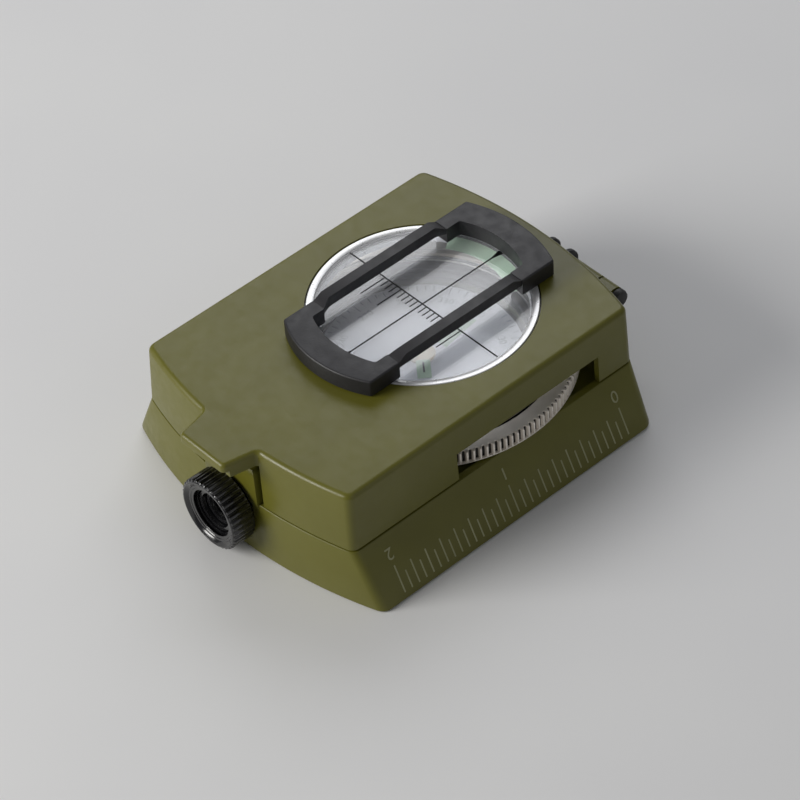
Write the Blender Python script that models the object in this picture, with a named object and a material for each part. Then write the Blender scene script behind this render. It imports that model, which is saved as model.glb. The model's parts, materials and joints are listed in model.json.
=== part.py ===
"""A pocket sighting compass, closed: a flared metal base that holds a liquid capsule, a hinged
lid with a round window and a folding sight frame on it, and a focusing eyepiece at one end.

+Y is the sighting direction (eyepiece at -Y, lid hinge at +Y), +X is the ruler side and +Z is
up. The origin is on the underside, below the sight line. Every size is in millimetres and is
turned into metres only when a mesh is made.
"""

import math

import bmesh
import bpy

MM = 0.001
GAP = 0.3  # what touching pieces keep between them
OVER = 1.0  # how far a cutter runs past the face it opens

# Plan shape of both shells: straight long sides and ends that are arcs of one large circle.
LID_HALF_WIDTH = 25.1
END_REACH = 34.6
END_RADIUS = 87.0
END_STEPS = 14
CORNER_RADIUS = 2.0
CORNER_STEPS = 4

# Heights.
SEAM = 10.9
LID_TOP = 22.8
DRAFT = 0.5  # each lid wall leans out by this much at the seam
WALL = 1.1
TOP_PLATE = 1.4
EDGE_ROUND = 1.0
EDGE_STEPS = 3

# Base shell: it flares out on every side, and most of all on the ruler side.
RULER_SIDE = 31.3
PLAIN_SIDE = 31.0
BASE_END_FLARE = 1.5
BASE_EDGE = 0.5
DECK_TOP = 9.6
DECK_UNDER = 8.0
RIM_WALL = 1.3
COVER_THICK = 1.2
BOSS = (21.5, 27.0)
BOSS_RADIUS = 2.4
SCREW_RADIUS = 0.8
SCREW_HEAD = 1.6

# Eyepiece end.
EYE_HEIGHT = 7.76
RING_RADIUS = 6.7
RING_BACK = -35.95
RING_FRONT = -40.6
TUBE_RADIUS = 5.0
TUNNEL_RADIUS = 3.0
TUNNEL_END = -15.8
BLOCK_BACK = -27.0
BLOCK_TOP = 18.3
BLOCK_HALF = 6.3
TAB_ROOT = 6.9
TAB_TIP = 5.45
TAB_END = -40.5
TAB_SKIRT = 3.0
LIP = 1.6
CUTOUT_TOP = 7.1  # half widths of the lid's opening over the eyepiece block
CUTOUT_SEAM = 7.75

# Capsule and bezel, turned about one vertical axis.
CAPSULE_Y = 7.0
CUP_RADIUS = 20.6
CUP_BORE = 18.6
CUP_TOP = 14.9
CUP_FLOOR = 4.4
BEZEL_RADIUS = 26.8
BEZEL_BOTTOM = 11.2
BEZEL_TOP = 13.8
CARD_RADIUS = 17.6
SPRING_RADIUS = 23.6
SLOT_NEAR = -8.3
SLOT_FAR = 23.7
SLOT_TOP = 16.7

# Window and the sight frame that folds flat round it.
WINDOW_Y = 7.9
WINDOW_RADIUS = 19.75
GLASS_RADIUS = 18.7
RING_SLEEVE = (18.95, 19.5)
FRAME_HALF = 10.7
FRAME_INNER_HALF = 7.75
FRAME_NEAR = (-16.1, 20.65)  # each end arc: its middle's y and its radius
FRAME_FAR = (30.4, 25.0)
FRAME_INNER_NEAR = (-11.1, 18.3)
FRAME_INNER_FAR = (25.6, 17.0)
FRAME_TOP = 26.2
FRAME_CORNER = 0.5
BAR_SPAN = (8.55, 10.5)  # the raised bars between the end plates
BAR_ENDS = (-6.8, 20.8)
BAR_HEIGHTS = (25.0, 27.1)
BAR_RISE = 1.8
FRAME_AXIS = (28.9, 24.5)
FRAME_HEEL = 1.5
FRAME_PIN_RADIUS = 0.4
LUG_HALF = 2.9

# Lid hinge, along X behind the far end.
HINGE = (38.8, 13.15)
KNUCKLE = 1.7
PIN_RADIUS = 0.8
SPOOL_RADIUS = 2.6
TONGUE_HALF = 7.6
TONGUE_TOP = 14.0
BASE_KNUCKLE = (3.1, 10.1)
LID_KNUCKLE = (10.5, 14.0)
CAP_SPAN = (14.3, 15.7)

FINE = 56
MEDIUM = 40
SMALL = 20


# ---------------------------------------------------------------- scene and materials


def clear_scene():
    for thing in list(bpy.data.objects):
        bpy.data.objects.remove(thing)


def material(name, colour, roughness, metallic=0.0, alpha=1.0):
    made = bpy.data.materials.new(name)
    made.use_nodes = True
    shader = made.node_tree.nodes["Principled BSDF"]
    shader.inputs["Base Color"].default_value = (*colour, 1.0)
    shader.inputs["Roughness"].default_value = roughness
    shader.inputs["Metallic"].default_value = metallic
    shader.inputs["Alpha"].default_value = alpha
    made.diffuse_color = (*colour, alpha)
    return made


def make_materials():
    return {
        "olive_paint": material("olive_paint", (0.115, 0.118, 0.028), 0.35),
        "black_metal": material("black_metal", (0.012, 0.012, 0.014), 0.3, 0.5),
        "frame_black": material("frame_black", (0.03, 0.028, 0.034), 0.45, 0.3),
        "bezel_metal": material("bezel_metal", (0.55, 0.5, 0.44), 0.3, 1.0),
        "steel": material("steel", (0.5, 0.5, 0.5), 0.3, 1.0),
        "brass": material("brass", (0.6, 0.42, 0.16), 0.3, 1.0),
        "silver_ring": material("silver_ring", (0.8, 0.8, 0.8), 0.25, 1.0),
        "glass": material("glass", (0.85, 0.9, 0.88), 0.02, 0.0, 0.3),
        "clear_plastic": material("clear_plastic", (0.8, 0.85, 0.85), 0.08, 0.0, 0.4),
        "card_white": material("card_white", (0.75, 0.76, 0.78), 0.5),
        "rubber": material("rubber", (0.015, 0.015, 0.015), 0.7),
    }


# ---------------------------------------------------------------- building meshes


def place(name, mesh, origin, look):
    """Links an object whose origin is at the given point, in millimetres."""
    mesh.materials.append(look)
    mesh.shade_smooth()
    mesh.set_sharp_from_angle(angle=math.radians(32))
    thing = bpy.data.objects.new(name, mesh)
    thing.location = [value * MM for value in origin]
    bpy.context.scene.collection.objects.link(thing)
    return thing


def solid(name, points, faces, look, origin=(0, 0, 0)):
    """A closed mesh from points in millimetres, with its faces turned outwards."""
    shape = bmesh.new()
    corners = []
    for point in points:
        local = [(value - start) * MM for value, start in zip(point, origin)]
        corners.append(shape.verts.new(local))
    for face in faces:
        shape.faces.new([corners[index] for index in face])
    bmesh.ops.recalc_face_normals(shape, faces=shape.faces)
    mesh = bpy.data.meshes.new(name)
    shape.to_mesh(mesh)
    shape.free()
    return place(name, mesh, origin, look)


def loft(name, rings, look, origin=(0, 0, 0)):
    """Joins rings of equally many points, each a list of (x, y, z), and caps both ends."""
    count = len(rings[0])
    points = [point for ring in rings for point in ring]
    faces = [list(range(count)), [len(points) - count + index for index in range(count)]]
    for level in range(len(rings) - 1):
        for index in range(count):
            ahead = (index + 1) % count
            low, high = level * count, (level + 1) * count
            faces.append([low + index, low + ahead, high + ahead, high + index])
    return solid(name, points, faces, look, origin)


def turned(name, profile, look, centre, axis="Z", steps=FINE, origin=None):
    """Turns a profile of (radius, distance along the axis) about a line through centre.

    A profile that starts on the axis also ends on it; any other profile is a closed loop.
    """
    full = profile[0][0] > 0
    points = []
    rows = []
    for radius, along in profile:
        row = []
        for step in range(steps if radius > 0 else 1):
            angle = 2 * math.pi * step / steps
            across = (radius * math.cos(angle), radius * math.sin(angle))
            row.append(len(points))
            points.append(on_axis(axis, centre, along, across))
        rows.append(row * steps if len(row) == 1 else row)
    faces = []
    pairs = list(zip(rows, rows[1:])) + ([(rows[-1], rows[0])] if full else [])
    for first, second in pairs:
        for step in range(steps):
            ahead = (step + 1) % steps
            corner = [first[step], first[ahead], second[ahead], second[step]]
            corner = list(dict.fromkeys(corner))
            if len(corner) > 2:
                faces.append(corner)
    return solid(name, points, faces, look, origin or on_axis(axis, centre, 0, (0, 0)))


def on_axis(axis, centre, along, across):
    """A point at a distance along an axis, and off it, where the axis passes through centre."""
    if axis == "Z":
        return (centre[0] + across[0], centre[1] + across[1], along)
    if axis == "Y":
        return (centre[0] + across[0], along, centre[1] + across[1])
    return (along, centre[0] + across[0], centre[1] + across[1])


def extruded(name, outline, start, end, look, axis="Z", origin=(0, 0, 0)):
    """Extrudes an outline: (x, y) along Z, or (y, z) along X."""
    rings = []
    for along in (start, end):
        if axis == "Z":
            rings.append([(across, up, along) for across, up in outline])
        else:
            rings.append([(along, across, up) for across, up in outline])
    return loft(name, rings, look, origin)


def block(name, low, high, look):
    outline = [(low[0], low[1]), (high[0], low[1]), (high[0], high[1]), (low[0], high[1])]
    return extruded(name, outline, low[2], high[2], look)


def rod(name, centre, radius, start, end, look, axis="Z", steps=SMALL, origin=None):
    profile = [(0, start), (radius, start), (radius, end), (0, end)]
    return turned(name, profile, look, centre, axis, steps, origin)


def ring(name, centre, inner, outer, start, end, look, axis="Z", steps=FINE):
    profile = [(inner, start), (outer, start), (outer, end), (inner, end)]
    return turned(name, profile, look, centre, axis, steps)


def combine(target, helper, operation):
    """Adds a Boolean and turns the helper into a hidden guide."""
    step = target.modifiers.new(helper.name, "BOOLEAN")
    step.operation = operation
    step.solver = "EXACT"
    step.object = helper
    helper.hide_render = True
    helper.display_type = "WIRE"


def cut(target, *helpers):
    for helper in helpers:
        combine(target, helper, "DIFFERENCE")


def join(target, *helpers):
    for helper in helpers:
        combine(target, helper, "UNION")


# ---------------------------------------------------------------- outlines


def arc(centre, radius, start, end, steps):
    """Points on a circle, from one angle in degrees to another, both ends included."""
    points = []
    for step in range(steps + 1):
        angle = math.radians(start + (end - start) * step / steps)
        points.append((centre[0] + radius * math.cos(angle), centre[1] + radius * math.sin(angle)))
    return points


def far_end(left, right, centre_y, radius, corner, steps):
    """The +Y end of an outline, from the right side to the left one, with filleted corners."""
    points = []
    sides = []
    for side, half in ((1, right), (-1, left)):
        x = half - corner
        y = centre_y + math.sqrt((radius - corner) ** 2 - x**2)
        sides.append((side * x, y, math.degrees(math.atan2(y - centre_y, side * x))))
    (right_x, right_y, first), (left_x, left_y, last) = sides
    points += arc((right_x, right_y), corner, 0, first, CORNER_STEPS)
    points += arc((0, centre_y), radius, first, last, steps)[1:-1]
    points += arc((left_x, left_y), corner, last, 180, CORNER_STEPS)
    return points


def turned_round(points):
    """The same points, turned half a turn about the origin."""
    return [(-x, -y) for x, y in points]


def case_outline(left, right, grow, corner):
    """Plan outline of a shell. grow moves both end arcs outwards from the lid's top outline."""
    centre = END_REACH - END_RADIUS
    radius = END_RADIUS + grow
    far = far_end(left, right, centre, radius, corner, END_STEPS)
    near = turned_round(far_end(right, left, centre, radius, corner, END_STEPS))
    return far + near


def level(outline, height):
    return [(x, y, height) for x, y in outline]


def lid_outline(height, inset):
    """The lid's outline at a height. Its walls lean out towards the seam."""
    lean = DRAFT * (LID_TOP - height) / (LID_TOP - SEAM)
    half = LID_HALF_WIDTH + lean - inset
    corner = max(CORNER_RADIUS - inset, 0.7)
    return level(case_outline(half, half, lean - inset, corner), height)


def base_outline(height, inset):
    """The base's outline at a height, flared from the seam down to the underside."""
    share = 1 - height / SEAM
    rim = LID_HALF_WIDTH + DRAFT
    left = rim + (PLAIN_SIDE - rim) * share - inset
    right = rim + (RULER_SIDE - rim) * share - inset
    grow = DRAFT + (BASE_END_FLARE - DRAFT) * share - inset
    corner = max(CORNER_RADIUS + 0.5 * share - inset, 0.7)
    return level(case_outline(left, right, grow, corner), height)


def trapezoid(inset, front):
    """Plan of the eyepiece hood: wide at its root inside the lid and narrow at its tip."""
    root_y = -END_REACH + OVER
    slope = (TAB_ROOT - TAB_TIP) / (root_y - TAB_END)
    tip = TAB_ROOT - slope * (root_y - front) - inset
    root = TAB_ROOT - inset
    return [(-tip, front), (tip, front), (root, root_y), (-root, root_y)]


def frame_outline(half, near, far, inset, corner, steps):
    """An outline with straight sides and an arc at each end: (its middle's y, its radius)."""
    half -= inset
    far_y, far_radius = far[0] - inset, far[1] - inset
    near_y, near_radius = near[0] + inset, near[1] - inset
    outline = far_end(half, half, far_y - far_radius, far_radius, corner, steps)
    near_half = far_end(half, half, -near_y - near_radius, near_radius, corner, steps)
    return outline + turned_round(near_half)


# ---------------------------------------------------------------- base and what it holds


def base_shell(looks):
    """The base casting: flared walls, a deck round the capsule, and the eyepiece block."""
    olive = looks["olive_paint"]
    rim = SEAM - GAP / 2
    rings = [
        base_outline(0, BASE_EDGE),
        base_outline(BASE_EDGE * 0.3, BASE_EDGE * 0.3),
        base_outline(BASE_EDGE, 0),
        base_outline(rim, 0),
    ]
    shell = loft("base_shell", rings, olive)
    below = [base_outline(height, 2.0) for height in (0, DECK_UNDER)]
    below.insert(0, [(x, y, -OVER) for x, y, _ in below[0]])
    above = [base_outline(height, RIM_WALL) for height in (DECK_TOP, SEAM)]
    above.append([(x, y, SEAM + OVER) for x, y, _ in above[1]])
    cut(shell, loft("cut_below_deck", below, olive), loft("cut_above_deck", above, olive))
    join(shell, eyepiece_block(olive))
    for number, (x, y) in enumerate(boss_places(), 1):
        join(shell, rod(f"boss_{number}", (x, y), BOSS_RADIUS, COVER_THICK + GAP, 8.8, olive))
    tongue_low = (-TONGUE_HALF, 34.15, DECK_TOP - OVER)
    join(shell, block("hinge_tongue", tongue_low, (TONGUE_HALF, 34.75, TONGUE_TOP), olive))
    for side in (-1, 1):
        join(shell, base_knuckle(side, olive))
    cut(shell, rod("cut_capsule", (0, CAPSULE_Y), CUP_RADIUS + GAP, 5, 12, olive, steps=FINE))
    eye = (0, EYE_HEIGHT)
    bore_end = BLOCK_BACK - 0.9
    bore = rod("cut_bore", eye, TUBE_RADIUS + 0.25, -38, bore_end, olive, "Y", MEDIUM)
    tunnel = rod("cut_tunnel", eye, TUNNEL_RADIUS + GAP, bore_end - 1, -12, olive, "Y", SMALL)
    pocket = block("cut_pocket", (-4.4, -34, 13.9), (4.4, BLOCK_BACK + OVER, 16.9), olive)
    seat = rod("cut_ring_seat", eye, RING_RADIUS + GAP, -38, RING_BACK + GAP, olive, "Y", MEDIUM)
    pin = rod("cut_base_pin", HINGE, PIN_RADIUS + 0.2, -12, 12, olive, "X")
    cut(shell, bore, tunnel, pocket, seat, pin)
    for number, (x, y) in enumerate(boss_places(), 1):
        cut(shell, rod(f"cut_boss_{number}", (x, y), SCREW_RADIUS + 0.2, 1, 6, olive))
    return shell


def boss_places():
    return [(side * BOSS[0], end * BOSS[1]) for side in (-1, 1) for end in (-1, 1)]


def eyepiece_block(look):
    """The raised block that carries the eyepiece, with drafted sides and a rounded top."""
    levels = [
        (COVER_THICK + GAP, 0.45, -34.8),
        (SEAM - 1.5, 0.25, -34.8),
        (SEAM - 0.5, 0.2, -35.2),
        (BLOCK_TOP - 0.8, 0, -35.2),
        (BLOCK_TOP - 0.25, -0.25, -35.1),
        (BLOCK_TOP, -0.8, -34.8),
    ]
    rings = []
    for height, wider, front in levels:
        half = BLOCK_HALF + wider
        corners = [(-half, front), (half, front), (half, BLOCK_BACK), (-half, BLOCK_BACK)]
        rings.append(level(corners, height))
    return loft("block_eyepiece", rings, look)


def base_knuckle(side, look):
    """A hinge knuckle on an arm that leaves the base below the lid's end wall."""
    y, z = HINGE
    root = y - 4.9
    arm_top = SEAM - GAP
    outline = [(root, arm_top), (root, DECK_UNDER + 0.4)]
    outline += arc(HINGE, KNUCKLE, -60, 180, SMALL)
    outline.append((y - KNUCKLE, arm_top))
    start, end = (side * along for along in BASE_KNUCKLE)
    return extruded(f"base_knuckle_{side}", outline, start, end, look, "X")


def bottom_cover(looks):
    """The plate that closes the base from below, with four countersunk holes."""
    look = looks["olive_paint"]
    rings = [base_outline(height, 2.0 + GAP) for height in (0, COVER_THICK)]
    plate = loft("bottom_cover", rings, look)
    for number, place_ in enumerate(boss_places(), 1):
        sink = [
            (0, -OVER),
            (SCREW_HEAD + 0.4, -OVER),
            (SCREW_HEAD + 0.4, 0.3),
            (SCREW_RADIUS + 0.4, 1.0),
            (SCREW_RADIUS + 0.4, 2.0),
            (0, 2.0),
        ]
        cut(plate, turned(f"cut_sink_{number}", sink, look, place_, steps=SMALL))
    return plate


def bottom_screws(looks):
    profile = [
        (0, 0.15),
        (SCREW_HEAD, 0.15),
        (SCREW_HEAD, 0.35),
        (SCREW_RADIUS, 1.0),
        (SCREW_RADIUS, 5.2),
        (0, 5.6),
    ]
    for number, place_ in enumerate(boss_places(), 1):
        turned(f"bottom_screw_{number}", profile, looks["steel"], place_, steps=SMALL)


def capsule(looks):
    """The liquid capsule: a clear cup with a flange on the deck, its seals and its glass."""
    centre = (0, CAPSULE_Y)
    flange = (DECK_TOP + GAP, DECK_TOP + GAP + 1.0)
    cup = [
        (0, CUP_FLOOR - 1.2),
        (CUP_RADIUS, CUP_FLOOR - 1.2),
        (CUP_RADIUS, flange[0]),
        (CUP_RADIUS + 1.3, flange[0]),
        (CUP_RADIUS + 1.3, flange[1]),
        (CUP_RADIUS, flange[1]),
        (CUP_RADIUS, CUP_TOP),
        (CUP_RADIUS - 0.8, CUP_TOP),
        (CUP_RADIUS - 0.8, 11.5),
        (CUP_BORE, 11.5),
        (CUP_BORE, CUP_FLOOR),
        (0, CUP_FLOOR),
    ]
    body = turned("capsule_cup", cup, looks["clear_plastic"], centre)
    for side in (-1, 1):
        port = (side * 5.0, CAPSULE_Y + side * 0.31)
        cut(body, rod(f"cut_port_{side}", port, 1.0, 2, 5, looks["clear_plastic"]))
    lock = (CUP_RADIUS + 0.25, CUP_RADIUS + 1.9)
    ring("capsule_lock_ring", centre, *lock, 6.4, DECK_UNDER - GAP, looks["black_metal"])
    membrane = [(0, 2.3), (6.2, 2.3), (6.8, 1.9), (9.0, 1.9)]
    membrane += [(9.0, 2.9), (7.4, 2.9), (6.6, 2.6), (0, 2.6)]
    turned("capsule_diaphragm", membrane, looks["rubber"], centre, steps=MEDIUM)
    seal = arc((CUP_RADIUS - 1.4, 12.15), 0.33, 0, 300, 5)
    turned("capsule_seal", seal, looks["rubber"], centre)
    glass_radius = CUP_RADIUS - 1.1
    rod("capsule_glass", centre, glass_radius, 12.8, 13.7, looks["glass"], steps=FINE)
    held = (glass_radius - 1.2, glass_radius)
    ring("capsule_retaining_ring", centre, *held, 14.0, 14.8, looks["black_metal"])
    post = [(0, 4.7), (2.2, 4.7), (2.2, 5.2), (0.7, 5.6), (0.35, 8.4), (0, 9.1)]
    turned("pivot_post", post, looks["brass"], centre, steps=SMALL)
    line = (0, CAPSULE_Y - 18.1)
    rod("lubber_line", line, 0.2, CUP_FLOOR + GAP, 9.4, looks["black_metal"], steps=12)


def bezel_spring(looks):
    """A split wire ring under the bezel that makes it turn with a steady drag."""
    height = DECK_TOP + GAP + 0.35
    curve = bpy.data.curves.new("bezel_spring", "CURVE")
    curve.dimensions = "3D"
    curve.bevel_depth = 0.3 * MM
    curve.bevel_resolution = 1
    curve.use_fill_caps = True
    points = arc((0, 0), SPRING_RADIUS, -65, 245, 48)
    line = curve.splines.new("POLY")
    line.points.add(len(points) - 1)
    for target, (x, y) in zip(line.points, points):
        target.co = (x * MM, y * MM, 0, 1)
    curve.materials.append(looks["steel"])
    thing = bpy.data.objects.new("bezel_spring", curve)
    thing.location = (0, CAPSULE_Y * MM, height * MM)
    bpy.context.scene.collection.objects.link(thing)


def eyepiece_tube(looks):
    """The fixed barrel: a neck for the focusing ring, and a sight tunnel to the capsule."""
    back = BLOCK_BACK - 1.2
    profile = [
        (TUBE_RADIUS, -35.6),
        (TUBE_RADIUS, back),
        (TUNNEL_RADIUS, back),
        (TUNNEL_RADIUS, TUNNEL_END),
        (TUNNEL_RADIUS - 0.5, TUNNEL_END),
        (TUNNEL_RADIUS - 0.5, back - 0.7),
        (4.1, back - 1.0),
        (4.1, -39.3),
        (4.6, -39.3),
        (4.6, -35.6),
    ]
    turned("eyepiece_tube", profile, looks["black_metal"], (0, EYE_HEIGHT), "Y", MEDIUM)


def hinge_hardware(looks):
    """The pin, the flanged spool between the knuckles for a cord, and a cap on each pin end."""
    end = CAP_SPAN[1] - 0.9
    rod("hinge_pin", HINGE, PIN_RADIUS, -end, end, looks["steel"], "X")
    inner, outer = PIN_RADIUS + 0.2, KNUCKLE
    span = BASE_KNUCKLE[0] - 0.4
    flange = span - 1.1
    spool = [(inner, -span), (SPOOL_RADIUS, -span), (SPOOL_RADIUS, -flange), (outer, -flange)]
    spool += [(radius, -along) for radius, along in reversed(spool)]
    turned("hinge_spool", spool, looks["rubber"], HINGE, "X", SMALL + 4)
    for name, side in (("hinge_cap_left", -1), ("hinge_cap_right", 1)):
        near, far = (side * along for along in CAP_SPAN)
        floor = side * (end + GAP)
        cap = [(inner, near), (outer, near), (outer, far - side * 0.4), (outer - 0.5, far), (0, far)]
        cap = [(0, floor), (inner, floor)] + cap
        turned(name, cap, looks["rubber"], HINGE, "X", SMALL)


# ---------------------------------------------------------------- what turns on the base


def compass_card(looks):
    """The card floats on its jewel: a disc with a scale skirt that the eyepiece reads."""
    centre = (0, CAPSULE_Y)
    skirt = [
        (1.7, 10.0),
        (CARD_RADIUS - 0.5, 10.0),
        (CARD_RADIUS - 0.5, 5.8),
        (CARD_RADIUS, 5.8),
        (CARD_RADIUS, 10.5),
        (1.7, 10.5),
    ]
    turned("compass_card", skirt, looks["card_white"], centre)
    jewel = [(0, 9.5), (0.9, 8.0), (1.4, 8.0), (1.4, 10.8), (2.4, 10.8), (2.4, 11.2), (0, 11.2)]
    turned("jewel_cup", jewel, looks["brass"], centre, steps=SMALL)
    for name, side in (("card_magnet_left", -1), ("card_magnet_right", 1)):
        x = side * 4.2
        low, high = (x - 1.0, CAPSULE_Y - 6.5, 8.2), (x + 1.0, CAPSULE_Y + 6.5, 9.7)
        block(name, low, high, looks["steel"])


def bezel_ring(looks):
    """The bezel: a toothed rim, a flat, a groove and a raised inner ring."""
    inner = CUP_RADIUS + GAP
    profile = [
        (inner, BEZEL_BOTTOM),
        (BEZEL_RADIUS - 0.3, BEZEL_BOTTOM),
        (BEZEL_RADIUS, BEZEL_BOTTOM + 0.3),
        (BEZEL_RADIUS, BEZEL_TOP - 0.4),
        (BEZEL_RADIUS - 0.5, BEZEL_TOP),
        (23.6, BEZEL_TOP),
        (23.4, BEZEL_TOP - 0.4),
        (23.1, BEZEL_TOP - 0.4),
        (22.9, BEZEL_TOP + 0.4),
        (inner, BEZEL_TOP + 0.4),
    ]
    turned("bezel_ring", profile, looks["bezel_metal"], (0, CAPSULE_Y), steps=72)


def focus_ring(looks):
    profile = [
        (4.9, RING_BACK),
        (RING_RADIUS - 0.3, RING_BACK),
        (RING_RADIUS, RING_BACK - 0.3),
        (RING_RADIUS, RING_FRONT + 0.8),
        (RING_RADIUS - 0.6, RING_FRONT),
        (4.4, RING_FRONT),
        (4.4, RING_FRONT + 0.7),
        (4.9, RING_FRONT + 0.8),
    ]
    turned("focus_ring", profile, looks["black_metal"], (0, EYE_HEIGHT), "Y", 48)


def lens_group(looks):
    """The sliding cell, its lens and the ring that holds the lens in it."""
    eye = (0, EYE_HEIGHT)
    cell = [(3.85, -39.0), (3.85, -33.5), (2.6, -33.5), (2.6, -34.8), (3.3, -34.8), (3.3, -39.0)]
    turned("lens_cell", cell, looks["black_metal"], eye, "Y", MEDIUM)
    radius, middle, edge, bulge = 3.05, -36.2, 0.55, 0.55
    front = []
    for step in range(5):
        share = step / 4
        front.append((radius * share, edge + bulge * (1 - share**2)))
    lens = [(r, middle - half) for r, half in front]
    lens += [(r, middle + half) for r, half in reversed(front)]
    turned("eyepiece_lens", lens, looks["glass"], eye, "Y", MEDIUM)
    ring("lens_retainer", eye, 2.4, radius, -38.2, -37.4, looks["black_metal"], "Y", MEDIUM)


# ---------------------------------------------------------------- lid and sight frame


def lid_shell(looks):
    """The lid casting: drafted walls, window hole, bezel slots, eyepiece hood and hinge lugs."""
    olive = looks["olive_paint"]
    start = SEAM + GAP / 2
    rings = [lid_outline(start, 0), lid_outline(LID_TOP - EDGE_ROUND, 0)]
    for step in range(1, EDGE_STEPS + 1):
        angle = math.pi / 2 * step / EDGE_STEPS
        height = LID_TOP - EDGE_ROUND * (1 - math.sin(angle))
        rings.append(lid_outline(height, EDGE_ROUND * (1 - math.cos(angle))))
    shell = loft("lid_shell", rings, olive)
    inside = [lid_outline(height, WALL) for height in (start - OVER, LID_TOP - TOP_PLATE)]
    cut(shell, loft("cut_lid_inside", inside, olive))
    under = LID_TOP - TOP_PLATE
    opening = []
    for height, half in ((SEAM - OVER, CUTOUT_SEAM), (LID_TOP - TAB_SKIRT + 0.05, CUTOUT_TOP)):
        opening.append(level([(-half, -38), (half, -38), (half, -31), (-half, -31)], height))
    cut(shell, loft("cut_eyepiece_gap", opening, olive))
    join(shell, hood(olive))
    hollow = extruded("cut_hood", trapezoid(1.1, TAB_END + 1.1), 19, under - 0.05, olive)
    lip = block("cut_hood_lip", (-8, TAB_END - 1, 19), (8, TAB_END + 1.2, LID_TOP - LIP), olive)
    slots = block("cut_bezel_slots", (-30, SLOT_NEAR, SEAM - 1), (30, SLOT_FAR, SLOT_TOP), olive)
    window = rod("cut_window", (0, WINDOW_Y), WINDOW_RADIUS, 20, 24, olive, steps=FINE)
    low, high = (-TONGUE_HALF - 0.4, 31, SEAM - 1), (TONGUE_HALF + 0.4, 38, TONGUE_TOP + GAP)
    notch = block("cut_hinge_notch", low, high, olive)
    cut(shell, hollow, lip, slots, window, notch)
    for side in (-1, 1):
        join(shell, lid_knuckle(side, olive))
    join(shell, frame_lug(olive))
    lid_pin = rod("cut_lid_pin", HINGE, PIN_RADIUS + 0.2, -15, 15, olive, "X")
    frame_pin = rod("cut_lug_pin", FRAME_AXIS, FRAME_PIN_RADIUS + 0.15, -4, 4, olive, "X", 16)
    cut(shell, lid_pin, frame_pin)
    return shell


def hood(look):
    """The tapered tab that shades the eyepiece, with rounded top edges."""
    top = LID_TOP - 0.02
    levels = [(LID_TOP - TAB_SKIRT, 0), (top - 0.5, 0), (top - 0.15, 0.15), (top, 0.5)]
    rings = [level(trapezoid(inset, TAB_END + inset), height) for height, inset in levels]
    return loft("hood", rings, look)


def lid_knuckle(side, look):
    y, z = HINGE
    arm_bottom = SEAM + 0.75
    meets = -180 + math.degrees(math.asin((z - arm_bottom) / KNUCKLE))
    outline = [(y - 5.2, arm_bottom), (y - 5.2, z + KNUCKLE)]
    outline += arc(HINGE, KNUCKLE, 90, meets, SMALL)
    start, end = (side * along for along in LID_KNUCKLE)
    return extruded(f"lid_knuckle_{side}", outline, start, end, look, "X")


def frame_lug(look):
    """The low lug on the lid that carries the sight frame's pin."""
    y, z = FRAME_AXIS
    foot = LID_TOP - 0.3
    outline = [(y - 1.1, foot), (y + 1.0, foot)] + arc(FRAME_AXIS, 0.95, 0, 180, 10)
    return extruded("frame_lug", outline, -LUG_HALF, LUG_HALF, look, "X")


def window_set(looks):
    """The window glass, its gasket and the bright ring whose sleeve and shelf hold them."""
    centre = (0, WINDOW_Y)
    under = LID_TOP - TOP_PLATE
    shelf = under - 0.4
    inner, outer = 17.9, WINDOW_RADIUS + 1.2
    rod("window_glass", centre, GLASS_RADIUS, shelf + 0.75, LID_TOP - 0.2, looks["glass"], steps=FINE)
    ring("window_gasket", centre, inner + 0.2, 18.6, shelf + 0.25, shelf + 0.5, looks["rubber"])
    sleeve_inner, sleeve_outer = RING_SLEEVE
    holder = [
        (inner, under - 1.4),
        (outer, under - 1.4),
        (outer, under - GAP),
        (sleeve_outer, under - GAP),
        (sleeve_outer, LID_TOP - 0.05),
        (sleeve_inner, LID_TOP - 0.05),
        (sleeve_inner, shelf),
        (inner, shelf),
    ]
    turned("window_ring", holder, looks["silver_ring"], centre)


def sight_frame(looks):
    """The folding frame, two end plates and two raised bars, hinged over the lug on the lid."""
    look = looks["frame_black"]
    y, z = FRAME_AXIS
    bottom = LID_TOP + GAP
    rings = []
    for height, inset in ((bottom, 0), (FRAME_TOP - 0.3, 0), (FRAME_TOP, 0.3)):
        shape = (FRAME_HALF, FRAME_NEAR, FRAME_FAR, inset, FRAME_CORNER - inset, 10)
        rings.append(level(frame_outline(*shape), height))
    frame = loft("sight_frame", rings, look, origin=(0, y, z))
    inner = frame_outline(FRAME_INNER_HALF, FRAME_INNER_NEAR, FRAME_INNER_FAR, 0, 0.6, 8)
    cut(frame, extruded("cut_frame_opening", inner, 22, 28, look))
    near, far = BAR_ENDS
    cut(frame, block("cut_frame_sides", (-12, near, 22), (12, far, 28), look))
    for side in (-1, 1):
        join(frame, frame_bar(side, look))
    heel = [(y, bottom - OVER), (y + 4, bottom - OVER), (y + 4, z)]
    heel += arc(FRAME_AXIS, FRAME_HEEL, 0, -90, 6)
    cut(frame, extruded("cut_frame_heel", heel, -12, 12, look, "X"))
    notch_low = (-LUG_HALF - 0.4, y - 1.35, bottom - OVER)
    cut(frame, block("cut_frame_notch", notch_low, (LUG_HALF + 0.4, y + 4, z + 1.25), look))
    pin = rod("cut_frame_pin", FRAME_AXIS, FRAME_PIN_RADIUS + 0.15, -5.2, 5.2, look, "X", 16)
    cut(frame, pin)
    return frame


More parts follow.
